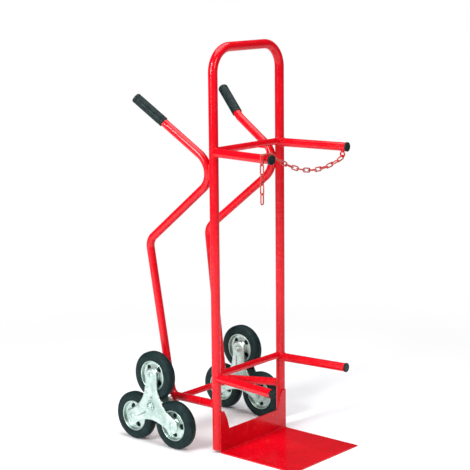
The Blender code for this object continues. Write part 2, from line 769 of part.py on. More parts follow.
def make_hook():
    top = ARM_HEIGHTS["upper"] + ARM_R + GAP
    x = -CHAIN_ARM_X
    bend = top + HOOK_RISE
    corners = [
        Vector((x, CHAIN_Y, top)),
        Vector((x, CHAIN_Y, bend)),
        Vector((x, CHAIN_Y + HOOK_LENGTH, bend)),
    ]
    path = rounded_path(corners, [HOOK_BEND_RADIUS])
    mesh = sweep_mesh("chain_hook", path, HOOK_ROD, resolution=ROD_BEVEL_RESOLUTION)
    add("chain_hook", mesh, "red_paint", FRAME)


def eye_centre():
    drop = ARM_R + GAP + EYE_RING_RADIUS + EYE_ROD / 2
    return Vector((CHAIN_ARM_X, CHAIN_Y, ARM_HEIGHTS["upper"] - drop))


def make_eye():
    """A ring of rod under the left arm, standing across the chain's line."""
    bpy.ops.mesh.primitive_torus_add(
        major_radius=EYE_RING_RADIUS,
        minor_radius=EYE_ROD / 2,
        major_segments=SMALL_STEPS,
        minor_segments=ROD_SIDES,
        location=(0, 0, 0),
    )
    made = bpy.context.object
    mesh = made.data
    bpy.data.objects.remove(made)
    eye = add("chain_eye", mesh, "red_paint", FRAME)
    eye.location = eye_centre()
    eye.rotation_euler = (0, math.pi / 2, 0)


def chain_ends():
    """Where the hanging chain leaves the right arm, and where it stops short of the eye."""
    off = ARM_R + CHAIN_RADIUS + CHAIN_ARM_CLEARANCE
    start = Vector((
        -CHAIN_ARM_X + off * math.sin(CHAIN_LEAN),
        CHAIN_Y,
        ARM_HEIGHTS["upper"] + off * math.cos(CHAIN_LEAN),
    ))
    end = eye_centre() - Vector((CHAIN_EYE_CLEARANCE, 0, 0))
    return start, end


def make_chain():
    start, end = chain_ends()
    path = []
    for i in range(CHAIN_STEPS + 1):
        share = i / CHAIN_STEPS
        sag = CHAIN_SAG * 4 * share * (1 - share)
        path.append(start.lerp(end, share) - Vector((0, 0, sag)) - start)
    swing = empty("chain_swing_axis", start, FRAME)
    mesh = sweep_mesh("chain_span", path, 2 * CHAIN_RADIUS, resolution=ROD_BEVEL_RESOLUTION)
    add("chain_span", mesh, "chain_paint", swing)
    side = CHAIN_ARM_X + ARM_R + GAP + ARM_CAP_WALL + CHAIN_RADIUS + TAIL_SIDE_CLEARANCE
    top = Vector((-side, CHAIN_Y, ARM_HEIGHTS["upper"] + ARM_R))
    swing = empty("tail_swing_axis", top, FRAME)
    path = [Vector((0, 0, 0)), Vector((0, 0, -TAIL_LENGTH))]
    mesh = sweep_mesh("chain_tail", path, 2 * CHAIN_RADIUS, resolution=ROD_BEVEL_RESOLUTION)
    add("chain_tail", mesh, "chain_paint", swing)


# ---------------------------------------------------------------- the trolley

clear_scene()
PARTS = new_collection("stair_climbing_trolley")
CUTTERS = new_collection("cutters")
PLACES = {}
FRAME = empty("frame", (0, 0, 0))
FRAME.location.y = -MIDDLE_Y
AXLE = empty("axle_axis", (0, AXLE_Y, AXLE_Z), FRAME)

make_hoop()
UPRIGHTS = upright_cutters()
BARS = make_cross_bars(UPRIGHTS)
make_arms(UPRIGHTS, BARS)
make_handle_tubes(UPRIGHTS, axle_cutter())
make_toe_plate()
make_axle()
for SIDE, SIGN in SIDES.items():
    make_star(SIDE, SIGN)
make_hook()
make_eye()
make_chain()
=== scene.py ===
"""The stair climbing trolley's looks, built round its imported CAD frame. Metres, +Z up, -Y to the front."""

import json
import math
import random

import bmesh
import bpy
from mathutils import Matrix, Vector, geometry


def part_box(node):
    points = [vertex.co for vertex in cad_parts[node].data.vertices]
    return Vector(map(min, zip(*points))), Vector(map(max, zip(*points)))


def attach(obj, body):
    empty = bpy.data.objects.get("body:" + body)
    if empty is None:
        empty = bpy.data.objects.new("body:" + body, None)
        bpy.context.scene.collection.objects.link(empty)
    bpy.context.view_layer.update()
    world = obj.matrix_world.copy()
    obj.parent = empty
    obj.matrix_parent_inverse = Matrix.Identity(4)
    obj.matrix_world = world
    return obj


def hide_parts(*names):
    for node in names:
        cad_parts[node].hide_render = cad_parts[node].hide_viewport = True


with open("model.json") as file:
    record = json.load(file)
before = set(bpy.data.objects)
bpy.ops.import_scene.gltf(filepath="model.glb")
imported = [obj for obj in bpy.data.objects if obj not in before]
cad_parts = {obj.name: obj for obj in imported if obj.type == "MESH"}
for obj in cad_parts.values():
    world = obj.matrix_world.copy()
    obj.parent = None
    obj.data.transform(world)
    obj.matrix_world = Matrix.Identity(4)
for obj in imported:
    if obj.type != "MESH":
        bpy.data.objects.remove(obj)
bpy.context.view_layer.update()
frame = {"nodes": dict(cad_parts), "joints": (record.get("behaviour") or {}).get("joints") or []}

# ------------------------ places read from the frame

NODES = frame["nodes"]
JOINTS = {j["name"]: j for j in frame["joints"]}
SIDES = {"right": -1, "left": 1}        # sign of X


def middle(name):
    low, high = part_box(name)
    return (low + high) / 2


def extent(name):
    low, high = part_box(name)
    return high - low


FRAME_R = extent("main_hoop").y / 2
UPRIGHT_Y = middle("main_hoop").y
UPRIGHT_X = extent("main_hoop").x / 2 - FRAME_R
HOOP_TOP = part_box("main_hoop")[1].z - FRAME_R
UPRIGHT_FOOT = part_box("main_hoop")[0].z
BAR_R = extent("upper_cross_bar").z / 2
BAR_HEIGHTS = {level: middle(level + "_cross_bar").z for level in ("upper", "lower")}
ARM_R = extent("upper_arm_right").z / 2
ARM_HEIGHTS = {level: middle(level + "_arm_right").z for level in ("upper", "lower")}
ARM_TIP_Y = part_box("upper_arm_right_cap")[0].y
AXLE = middle("axle_shaft")
AXLE_TUBE_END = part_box("axle_tube")[1].x
AXLE_TUBE_R = extent("axle_tube").z / 2
WHEEL_R = extent("tyre_right_top").z / 2
TYRE_HALF = extent("tyre_right_top").x / 2
RIM_R = extent("wheel_centre_right_top").z / 2
PLACES = ("top", "rear", "front")
STAR_AT = Vector(JOINTS["star_right_turn"]["pos_m"])
WHEEL_AT = {
    place: Vector(JOINTS[f"wheel_right_{place}_roll"]["pos_m"]) - STAR_AT
    for place in PLACES
}
STAR_RADIUS = WHEEL_AT["top"].z

# ------------------------ sizes the frame's boxes don't give

GAP = 0.0003                    # between two pieces that touch
WALL = 0.002
HOOP_BEND_RADIUS = 0.078
ARM_TIP_OUTSIDE_UPRIGHT = 0.028
ARM_TIP_X = UPRIGHT_X + ARM_TIP_OUTSIDE_UPRIGHT
HANDLE_R = 0.0135
BEND_STEP = math.radians(5.0)
TUBE_SIDES = 40
TUBE_END_DEPTH = 0.03           # how far an open tube's inside is seen
MERGE = 1e-6

# ------------------------ materials


class Finish:
    """A node material being built: a Principled shader and short ways to feed it."""

    def __init__(self, name, **settings):
        self.material = bpy.data.materials.new(name)
        self.material.use_nodes = True
        self.tree = self.material.node_tree
        self.shader = self.tree.nodes["Principled BSDF"]
        for socket, value in settings.items():
            self.shader.inputs[socket.replace("_", " ")].default_value = value
        self.place = self.tree.nodes.new("ShaderNodeTexCoord").outputs["Object"]

    def node(self, kind, inputs=None, **settings):
        made = self.tree.nodes.new("ShaderNode" + kind)
        for name, value in settings.items():
            setattr(made, name, value)
        for socket, value in (inputs or {}).items():
            if isinstance(value, bpy.types.NodeSocket):
                self.tree.links.new(value, made.inputs[socket])
            else:
                made.inputs[socket].default_value = value
        return made

    def noise(self, scale, detail=3.0, roughness=0.5, stretch=None):
        place = self.place
        if stretch:
            place = self.node("Mapping", {"Vector": place, "Scale": stretch}).outputs["Vector"]
        inputs = {"Vector": place, "Scale": scale, "Detail": detail, "Roughness": roughness}
        return self.node("TexNoise", inputs).outputs["Fac"]

    def ramp(self, value, stops, smooth=True):
        """A colour ramp from {position: grey or (r, g, b)}."""
        made = self.node("ValToRGB", {"Fac": value})
        made.color_ramp.interpolation = "EASE" if smooth else "LINEAR"
        elements = made.color_ramp.elements
        while len(elements) < len(stops):
            elements.new(0.5)
        for element, (position, colour) in zip(elements, sorted(stops.items())):
            element.position = position
            rgb = colour if isinstance(colour, tuple) else (colour,) * 3
            element.color = (*rgb, 1.0)
        return made.outputs["Color"]

    def mix(self, share, a, b, blend="MIX"):
        made = self.node("MixRGB", {"Fac": share}, blend_type=blend)
        for socket, value in (("Color1", a), ("Color2", b)):
            if isinstance(value, tuple):
                made.inputs[socket].default_value = (*value, 1.0)
            else:
                self.tree.links.new(value, made.inputs[socket])
        return made.outputs["Color"]

    def maths(self, operation, *values):
        return self.node("Math", dict(enumerate(values)), operation=operation).outputs["Value"]

    def feed(self, socket, value):
        self.tree.links.new(value, self.shader.inputs[socket])

    def bump(self, height, strength, distance):
        inputs = {"Height": height, "Strength": strength, "Distance": distance}
        self.feed("Normal", self.node("Bump", inputs).outputs["Normal"])


def near_floor(finish, low, high):
    """1 at a height of low and under, falling to 0 at high."""
    height = finish.node("SeparateXYZ", {"Vector": finish.place}).outputs["Z"]
    inputs = {"Value": height, "From Min": low, "From Max": high, "To Min": 1.0, "To Max": 0.0}
    return finish.node("MapRange", inputs).outputs["Result"]


def red_paint():
    """Gloss powder coat: faint orange peel, drifts of tone, scuffs and chips that thicken near the floor."""
    coat = {"Coat_Weight": 0.25, "Coat_Roughness": 0.05}
    made = Finish("red_gloss_paint", IOR=1.4, Specular_IOR_Level=0.35, **coat)
    drift = made.ramp(made.noise(5.0), {0.3: (0.62, 0.0010, 0.0080), 0.7: (0.76, 0.0018, 0.0115)})
    fine = made.ramp(made.noise(140.0, detail=4.0), {0.35: 0.90, 0.65: 1.0})
    tone = made.mix(1.0, drift, fine, "MULTIPLY")
    low = near_floor(made, 0.0, 0.35)
    specks = made.noise(95.0, detail=6.0, roughness=0.62)
    chips = made.maths("ADD", specks, made.maths("MULTIPLY", low, 0.035))
    chipped = made.ramp(chips, {0.745: 0.0, 0.76: 1.0}, smooth=False)
    worn = made.mix(chipped, tone, (0.16, 0.075, 0.06))
    streaks = made.noise(30.0, detail=5.0, stretch=(1.0, 1.0, 6.0))
    scuffs = made.ramp(streaks, {0.60: 0.0, 0.80: 0.20})
    dusty = made.mix(made.maths("MULTIPLY", scuffs, low), worn, (0.38, 0.10, 0.09))
    made.feed("Base Color", dusty)
    gloss = made.ramp(made.noise(38.0, detail=4.0), {0.3: 0.17, 0.7: 0.30})
    made.feed("Roughness", made.maths("ADD", gloss, made.maths("MULTIPLY", chipped, 0.4)))
    peel = made.noise(620.0, detail=2.0)
    height = made.maths("SUBTRACT", made.maths("MULTIPLY", peel, 0.25), chipped)
    made.bump(height, 0.10, 0.0006)
    return made.material


def zinc():
    """Bright zinc plate: pale grey-green bloom, small stains, fine rolled grain and shallow dents."""
    made = Finish("bright_zinc", Metallic=0.88, IOR=1.6)
    bloom = made.ramp(made.noise(22.0, detail=4.0), {0.3: (0.47, 0.62, 0.565), 0.7: (0.71, 0.84, 0.79)})
    cells = made.node("TexVoronoi", {"Vector": made.place, "Scale": 160.0}).outputs["Color"]
    grey = made.node("RGBToBW", {"Color": cells}).outputs["Val"]
    spangle = made.ramp(grey, {0.2: 0.90, 0.8: 1.0})
    tone = made.mix(1.0, bloom, spangle, "MULTIPLY")
    stain = made.ramp(made.noise(48.0, detail=6.0, roughness=0.6), {0.56: 0.0, 0.72: 0.65})
    made.feed("Base Color", made.mix(stain, tone, (0.30, 0.40, 0.36)))
    grain = made.noise(260.0, detail=3.0, stretch=(1.0, 1.0, 5.0))
    dullness = made.maths("ADD", grain, made.maths("MULTIPLY", stain, 0.5))
    made.feed("Roughness", made.ramp(dullness, {0.3: 0.26, 0.8: 0.52}))
    height = made.maths("ADD", made.maths("MULTIPLY", grain, 0.3), made.noise(60.0))
    made.bump(height, 0.16, 0.0006)
    return made.material


def rubber(name, dark, pale, dust, roughness, floor_dust):
    """Black rubber: a mottled surface with grey scuffs, and more dust near the floor."""
    made = Finish(name, Specular_IOR_Level=0.16)
    tone = made.ramp(made.noise(70.0, detail=5.0), {0.3: dark, 0.7: pale})
    scuff = made.ramp(made.noise(34.0, detail=7.0, roughness=0.65), {0.56: 0.0, 0.72: 0.55})
    low = made.maths("MULTIPLY", near_floor(made, 0.0, 0.12), floor_dust)
    amount = made.maths("MULTIPLY", scuff, made.maths("ADD", low, 0.22))
    made.feed("Base Color", made.mix(amount, tone, dust))
    gloss = {0.3: roughness - 0.1, 0.7: roughness + 0.08}
    made.feed("Roughness", made.ramp(made.noise(110.0, detail=4.0), gloss))
    height = made.maths("ADD", made.noise(900.0, detail=2.0), made.maths("MULTIPLY", scuff, 0.5))
    made.bump(height, 0.22, 0.0004)
    return made.material


def chain_paint():
    """Red paint on steel links, rubbed through to dull metal where they touch."""
    made = Finish("chain_red_paint", Coat_Weight=0.25, Coat_Roughness=0.2)
    tone = made.ramp(made.noise(90.0, detail=4.0), {0.3: (0.42, 0.018, 0.016), 0.7: (0.58, 0.045, 0.034)})
    rubbed = made.ramp(made.noise(210.0, detail=5.0, roughness=0.6), {0.60: 0.0, 0.68: 1.0})
    made.feed("Base Color", made.mix(rubbed, tone, (0.36, 0.30, 0.28)))
    made.feed("Metallic", made.maths("MULTIPLY", rubbed, 0.75))
    made.feed("Roughness", made.ramp(made.noise(130.0), {0.3: 0.30, 0.7: 0.48}))
    made.bump(made.maths("SUBTRACT", made.noise(420.0), rubbed), 0.20, 0.0004)
    return made.material


GLOW_FROM = 0.55                # metres from the trolley's middle, where the floor starts to glow
GLOW_TO = 2.1


def floor_finish():
    """Pale studio floor, faintly uneven, that glows like a lit white sweep away from the trolley."""
    made = Finish("pale_floor", Roughness=0.9, Specular_IOR_Level=0.1)
    shades = {0.3: (0.93, 0.93, 0.95), 0.7: (0.96, 0.96, 0.98)}
    made.feed("Base Color", made.ramp(made.noise(1.3, detail=3.0), shades))
    made.bump(made.noise(90.0, detail=2.0), 0.02, 0.001)
    away = made.node("VectorMath", {0: made.place}, operation="LENGTH").outputs["Value"]
    inputs = {"Value": away, "From Min": GLOW_FROM, "From Max": GLOW_TO, "To Min": 0.0, "To Max": 1.0}
    share = made.node("MapRange", inputs, interpolation_type="SMOOTHSTEP").outputs["Result"]
    glow = made.node("Emission")
    seen = made.maths("MULTIPLY", share, made.node("LightPath").outputs["Is Camera Ray"])
    mix = made.node("MixShader", {"Fac": seen})
    made.tree.links.new(made.shader.outputs["BSDF"], mix.inputs[1])
    made.tree.links.new(glow.outputs["Emission"], mix.inputs[2])
    made.tree.links.new(mix.outputs["Shader"], made.tree.nodes["Material Output"].inputs["Surface"])
    return made.material


FINISHES = {
    "red_paint": red_paint(),
    "zinc_plate": zinc(),
    "tyre_rubber": rubber(
        "tyre_rubber", (0.0030, 0.0125, 0.0130), (0.0070, 0.0225, 0.0230), (0.060, 0.095, 0.093), 0.52, 0.5,
    ),
    "grip_rubber": rubber(
        "grip_rubber", (0.006, 0.0130, 0.0140), (0.0130, 0.0250, 0.0260), (0.06, 0.08, 0.08), 0.42, 0.0,
    ),
    "cap_plastic": rubber(
        "cap_plastic", (0.006, 0.0105, 0.0110), (0.012, 0.0190, 0.0200), (0.05, 0.06, 0.06), 0.36, 0.0,
    ),
    "chain_paint": chain_paint(),
}

# ------------------------ mesh helpers


def merged_object(name, verts, faces):
    """An object from points and faces, its doubles merged and its faces turned outwards."""
    mesh = bpy.data.meshes.new(name)
    mesh.from_pydata([tuple(v) for v in verts], [], faces)
    shape = bmesh.new()
    shape.from_mesh(mesh)
    bmesh.ops.remove_doubles(shape, verts=shape.verts, dist=MERGE)
    bmesh.ops.recalc_face_normals(shape, faces=shape.faces)
    shape.to_mesh(mesh)
    shape.free()
    return bpy.data.objects.new(name, mesh)


def piece(name, verts, faces, finish, body, *replaced, sharp=35.0):
    """A new piece from points in the row frame. It rides on its body and stands for the CAD nodes."""
    return finished(merged_object(name, verts, faces), finish, body, *replaced, sharp=sharp)


def finished(obj, finish, body, *replaced, sharp=35.0):
    """Gives a mesh object its shading and material, and puts it on its body."""
    if obj.name not in bpy.context.scene.collection.objects:
        bpy.context.scene.collection.objects.link(obj)
    obj.data.shade_smooth()
    obj.data.set_sharp_from_angle(angle=math.radians(sharp))
    obj.data.materials.clear()
    obj.data.materials.append(FINISHES[finish])
    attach(obj, body)
    if replaced:
        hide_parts(*replaced)
    return obj


def join(*parts):
    """Several (points, faces) as one."""
    verts, faces = [], []
    for more_verts, more_faces in parts:
        start = len(verts)
        verts += more_verts
        faces += [tuple(i + start for i in face) for face in more_faces]
    return verts, faces


def moved(part, matrix):
    verts, faces = part
    return [matrix @ Vector(v) for v in verts], faces


def rounded_path(corners, radii, step=BEND_STEP):
    """The corners joined by straight runs, with an arc of each inner corner's radius."""
    path = [Vector(corners[0])]
    for before, corner, after, radius in zip(corners, corners[1:], corners[2:], radii):
        back = (before - corner).normalized()
        ahead = (after - corner).normalized()
        half = back.angle(ahead) / 2
        centre = corner + (back + ahead).normalized() * radius / math.sin(half)
        start = corner + back * radius / math.tan(half) - centre
        turn = math.pi - 2 * half
        steps = max(3, round(turn / step))
        for i in range(steps + 1):
            angle = turn * i / steps
            path.append(centre + start * math.cos(angle) - back * radius * math.sin(angle))
    path.append(Vector(corners[-1]))
    return path


def frames_along(path, closed=False):
    """(place, side, up) at each point of a path, turning as little as possible from one to the next."""
    count = len(path)
    tangents = []
    for i in range(count):
        before = path[i - 1] if closed or i else path[i]
        after = path[(i + 1) % count] if closed or i < count - 1 else path[i]
        tangents.append((after - before).normalized())
    side = tangents[0].orthogonal().normalized()
    frames = []
    for place, tangent in zip(path, tangents):
        side = (side - tangent * side.dot(tangent)).normalized()
        frames.append((place, side, tangent.cross(side)))
    return frames


def sweep(path, radius, sides=TUBE_SIDES, closed=False, wall=None):
    """A round rod along a path, or a tube with open ends where it has a wall. radius may be a list."""
    radii = radius if isinstance(radius, list) else [radius] * len(path)
    rings = [(frame_at, r) for frame_at, r in zip(frames_along(path, closed), radii)]
    if wall and not closed:
        inner = radii[0] - wall
        first, last = rings[0][0], rings[-1][0]
        into = (path[1] - path[0]).normalized() * TUBE_END_DEPTH
        back = (path[-2] - path[-1]).normalized() * TUBE_END_DEPTH
        rings = [((first[0] + into, *first[1:]), inner), (first, inner)] + rings
        rings += [(last, inner), ((last[0] + back, *last[1:]), inner)]
    verts = []
    for (place, side, up), r in rings:
        for k in range(sides):
            angle = math.tau * k / sides
            verts.append(place + side * (r * math.cos(angle)) + up * (r * math.sin(angle)))
    faces = []
    for i in range(len(rings) if closed else len(rings) - 1):
        a, b = i * sides, (i + 1) % len(rings) * sides
        for k in range(sides):
            n = (k + 1) % sides
            faces.append((a + k, a + n, b + n, b + k))
    if not closed:
        faces.append(tuple(range(sides)))
        faces.append(tuple(range((len(rings) - 1) * sides, len(rings) * sides)))
    return verts, faces


def soft_corners(profile, radius, steps=4):
    """The profile with each corner rounded off, as far as its neighbouring edges allow."""
    made = []
    for i, (x, y) in enumerate(profile):
        here = Vector((x, y))
        before = Vector(profile[i - 1])
        after = Vector(profile[(i + 1) % len(profile)])
        if x == 0.0 or (before - here).length < 1e-9 or (after - here).length < 1e-9:
            made.append((x, y))
            continue
        back, ahead = (before - here).normalized(), (after - here).normalized()
        angle = back.angle(ahead)
        if angle > math.radians(165):
            made.append((x, y))
            continue
        reach = min(radius, 0.45 * (before - here).length, 0.45 * (after - here).length)
        for k in range(steps + 1):
            share = k / steps
            point = (here + back * reach) * (1 - share) ** 2 + here * 2 * share * (1 - share)
            point += (here + ahead * reach) * share ** 2
            made.append((point.x, point.y))
    return made


def turned(profile, steps=64, closed=False):
    """The profile's (radius, height) points turned round Z."""
    verts, rings = [], []
    for radius, height in profile:
        if radius < 1e-7:
            rings.append([len(verts)] * steps)
            verts.append(Vector((0, 0, height)))
            continue
        rings.append(list(range(len(verts), len(verts) + steps)))
        for k in range(steps):
            angle = math.tau * k / steps
            verts.append(Vector((radius * math.cos(angle), radius * math.sin(angle), height)))
    faces = []
    for i in range(len(rings) if closed else len(rings) - 1):
        a, b = rings[i], rings[(i + 1) % len(rings)]
        for k in range(steps):
            n = (k + 1) % steps
            corners = [a[k], a[n], b[n], b[k]]
            corners = [c for j, c in enumerate(corners) if c != corners[j - 1]]
            if len(corners) > 2:
                faces.append(tuple(corners))
    return verts, faces


def smooth_step(value, low, high):
    share = min(1.0, max(0.0, (value - low) / (high - low)))
    return share * share * (3 - 2 * share)


def aimed(place, direction):
    """The matrix that stands a turned piece's Z axis along a direction, at a place."""
    return Matrix.Translation(place) @ Vector(direction).to_track_quat("Z", "Y").to_matrix().to_4x4()


def outwards(place, sign):
    """The matrix that lays a turned piece's Z axis along X, away from the trolley's middle."""
    return Matrix.Translation(place) @ Matrix.Rotation(sign * math.pi / 2, 4, "Y")


# ------------------------ tubes


def at_plane(x, y, z):
    """A point given from the uprights' plane, as part of the row frame."""
    return Vector((x, y + UPRIGHT_Y, z))


def mirrored(points):
    return [Vector((-p.x, p.y, p.z)) for p in points]


ELBOW_INSIDE_UPRIGHT = 0.006
ELBOW_HEIGHT = 0.919
HANDLE_RUN_PITCH = math.radians(33.3)
HANDLE_RUN_DEPTH = 0.201
KINK_OUTSIDE_ELBOW = 0.017
GRIP_END_OFFSET = Vector((-0.037, 0.105, 0.088))
LEG_RUN_PITCH = math.radians(38.5)
LEG_RUN_DEPTH = 0.323
KNEE_INSIDE_ELBOW = 0.012
LEG_FOOT_INSIDE_KNEE = 0.018
LEG_FOOT_FROM_AXLE = Vector((0.011, 0.010))
STAY_END_HEIGHT = 0.160
KINK_BEND = 0.060
ELBOW_BEND = 0.069
KNEE_BEND = 0.045
FOOT_BEND = 0.030
HANDLE_BENDS = [KINK_BEND, ELBOW_BEND, KNEE_BEND, FOOT_BEND]


def handle_corners():
    """Corners of the right tube's centreline, from the grip's end down to the stay's end."""
    half = (HANDLE_RUN_PITCH + LEG_RUN_PITCH) / 2
    elbow_x = ELBOW_INSIDE_UPRIGHT - UPRIGHT_X
    elbow_y = FRAME_R + HANDLE_R + GAP - ELBOW_BEND * (1 / math.sin(half) - 1)
    elbow = at_plane(elbow_x, elbow_y, ELBOW_HEIGHT)
    kink_drop = HANDLE_RUN_DEPTH * math.tan(HANDLE_RUN_PITCH)
    kink = elbow + Vector((-KINK_OUTSIDE_ELBOW, HANDLE_RUN_DEPTH, kink_drop))
    knee_drop = LEG_RUN_DEPTH * math.tan(LEG_RUN_PITCH)
    knee = elbow + Vector((KNEE_INSIDE_ELBOW, LEG_RUN_DEPTH, -knee_drop))
    foot_x = knee.x + LEG_FOOT_INSIDE_KNEE
    foot = Vector((foot_x, AXLE.y + LEG_FOOT_FROM_AXLE.x, AXLE.z + LEG_FOOT_FROM_AXLE.y))
    return [kink + GRIP_END_OFFSET, kink, elbow, knee, foot, at_plane(-UPRIGHT_X, 0, STAY_END_HEIGHT)]


HANDLE_CORNERS = handle_corners()


def make_hoop():
    corners = [
        at_plane(-UPRIGHT_X, 0, UPRIGHT_FOOT),
        at_plane(-UPRIGHT_X, 0, HOOP_TOP),
        at_plane(UPRIGHT_X, 0, HOOP_TOP),
        at_plane(UPRIGHT_X, 0, UPRIGHT_FOOT),
    ]
    path = rounded_path(corners, [HOOP_BEND_RADIUS] * 2)
    piece("hoop_tube", *sweep(path, FRAME_R, wall=WALL), "red_paint", "frame", "main_hoop")


def make_bars():
    for level, height in BAR_HEIGHTS.items():
        path = [at_plane(-UPRIGHT_X, 0, height), at_plane(UPRIGHT_X, 0, height)]
        piece(level + "_bar", *sweep(path, BAR_R), "red_paint", "frame", level + "_cross_bar")


def arm_line(sign, height):
    """An arm's start on the upright's axis, and the middle of its cap's end."""
    return at_plane(sign * UPRIGHT_X, 0, height), Vector((sign * ARM_TIP_X, ARM_TIP_Y, height))


ARM_CAP_DEPTH = 0.007
ARM_CAP_END = 0.003


def make_arms():
    outer = extent("upper_arm_right_cap").z / 2
    for level, height in ARM_HEIGHTS.items():
        for side, sign in SIDES.items():
            name = f"{level}_arm_{side}"
            start, tip = arm_line(sign, height)
            along = (tip - start).normalized()
            tube = sweep([start, tip - along * ARM_CAP_END], ARM_R)
            piece(name + "_tube", *tube, "red_paint", "frame", name)
            profile = soft_corners(
                [(0.0, -0.0012), (outer * 0.55, -0.0008), (outer, 0.0), (outer, -ARM_CAP_DEPTH),
                 (ARM_R - 0.001, -ARM_CAP_DEPTH), (ARM_R - 0.001, -0.004), (0.0, -0.004)],
                0.0028, 5,
            )
            cap = moved(turned(profile), aimed(tip, along))
            piece(name + "_end_cap", *cap, "cap_plastic", "frame", name + "_cap")


GRIP_LENGTH = 0.122
GRIP_SKIN = 0.0032
FLUTES = 18
FLUTE_DEPTH = 0.0011


def fluted_grip(bore):
    """A grip on its own Z axis: a domed end, a hand's length of flutes between two rings, and a collar."""
    skin = bore + GRIP_SKIN
    points = [(0.0, 0.0040), (bore * 0.55, 0.0038), (bore + 0.0012, 0.0030), (skin, 0.0), (skin, -0.0070)]
    points += [(skin - 0.0009, -0.0078), (skin - 0.0009, -0.0090), (skin, -0.0098)]
    points += [(skin, -0.0098 - 0.0090 * i) for i in range(1, 11)]
    points += [(skin, 0.0108 - GRIP_LENGTH), (skin - 0.0009, 0.0100 - GRIP_LENGTH)]
    points += [(skin - 0.0009, 0.0088 - GRIP_LENGTH), (skin, 0.0080 - GRIP_LENGTH), (skin, -GRIP_LENGTH)]
    points += [(bore - 0.0004, -GRIP_LENGTH), (bore - 0.0004, -0.0010), (0.0, -0.0010)]
    verts, faces = turned(soft_corners(points, 0.0005, 2), 8 * FLUTES)
    for vert in verts:
        radius = math.hypot(vert.x, vert.y)
        low = 1 - smooth_step(-vert.z, GRIP_LENGTH - 0.020, GRIP_LENGTH - 0.013)
        fade = smooth_step(-vert.z, 0.011, 0.018) * low
        if radius > bore + 0.0015 and fade > 0:
            wave = math.cos(FLUTES * math.atan2(vert.y, vert.x))
            sunk = FLUTE_DEPTH * fade * smooth_step(wave, 0.2, 0.9)
            vert.xy *= (radius - sunk) / radius
    return verts, faces


def make_handles():
    for side in SIDES:
        corners = HANDLE_CORNERS if side == "right" else mirrored(HANDLE_CORNERS)
        path = rounded_path(corners, HANDLE_BENDS)
        name = "handle_leg_tube_" + side
        piece("bent_" + name, *sweep(path, HANDLE_R), "red_paint", "frame", name)
        grip = fluted_grip(HANDLE_R)
        at = aimed(corners[0], corners[0] - corners[1])
        piece("fluted_grip_" + side, *moved(grip, at), "grip_rubber", "frame", "grip_" + side)


# ------------------------ welds

WELD = 0.0024
THIN_WELD = 0.0021
ELBOW_WELD = 0.0033
ELBOW_WELD_LENGTH = 0.050
ELBOW_WELD_DROP = 0.028         # from the elbow's corner down to the weld's lower end
TOE_WELD_FOOT = 0.018


def bead(name, path, radius, closed=False, seed=1):
    """A weld: a low rod whose radius ripples, drawn out to nothing at open ends."""
    rng = random.Random(seed)
    spread = []
    total = sum((b - a).length for a, b in zip(path, path[1:]))
    gone = 0.0
    for i, point in enumerate(path):
        gone += (point - path[i - 1]).length if i else 0.0
        ripple = 1.0 + 0.10 * math.sin(gone / 0.0022 * math.tau) + rng.uniform(-0.05, 0.05)
        taper = 1.0 if closed else min(1.0, 0.25 + 12.0 * min(gone, total - gone) / total)
        spread.append(radius * ripple * taper)
    piece(name, *sweep(path, spread, sides=12, closed=closed), "red_paint", "frame", sharp=80.0)


def along_line(a, b, spacing=0.0007):
    count = max(4, round((b - a).length / spacing))
    return [a.lerp(b, i / count) for i in range(count + 1)]


def saddle(post, post_r, start, direction, branch_r, count=120):
    """Where a branch tube from the post's axis comes through the upright post's wall."""
    direction = direction.normalized()
    across = direction.cross(Vector((0, 0, 1))).normalized()
    up = across.cross(direction)
    points = []
    for i in range(count):
        angle = math.tau * i / count
        from_axis = start + across * (branch_r * math.cos(angle)) + up * (branch_r * math.sin(angle))
        flat = Vector((from_axis.x - post.x, from_axis.y - post.y))
        step = Vector((direction.x, direction.y))
        a, b, c = step.dot(step), 2 * flat.dot(step), flat.dot(flat) - post_r ** 2
        root = max(0.0, b * b - 4 * a * c)
        points.append(from_axis + direction * ((-b + math.sqrt(root)) / (2 * a)))
    return points


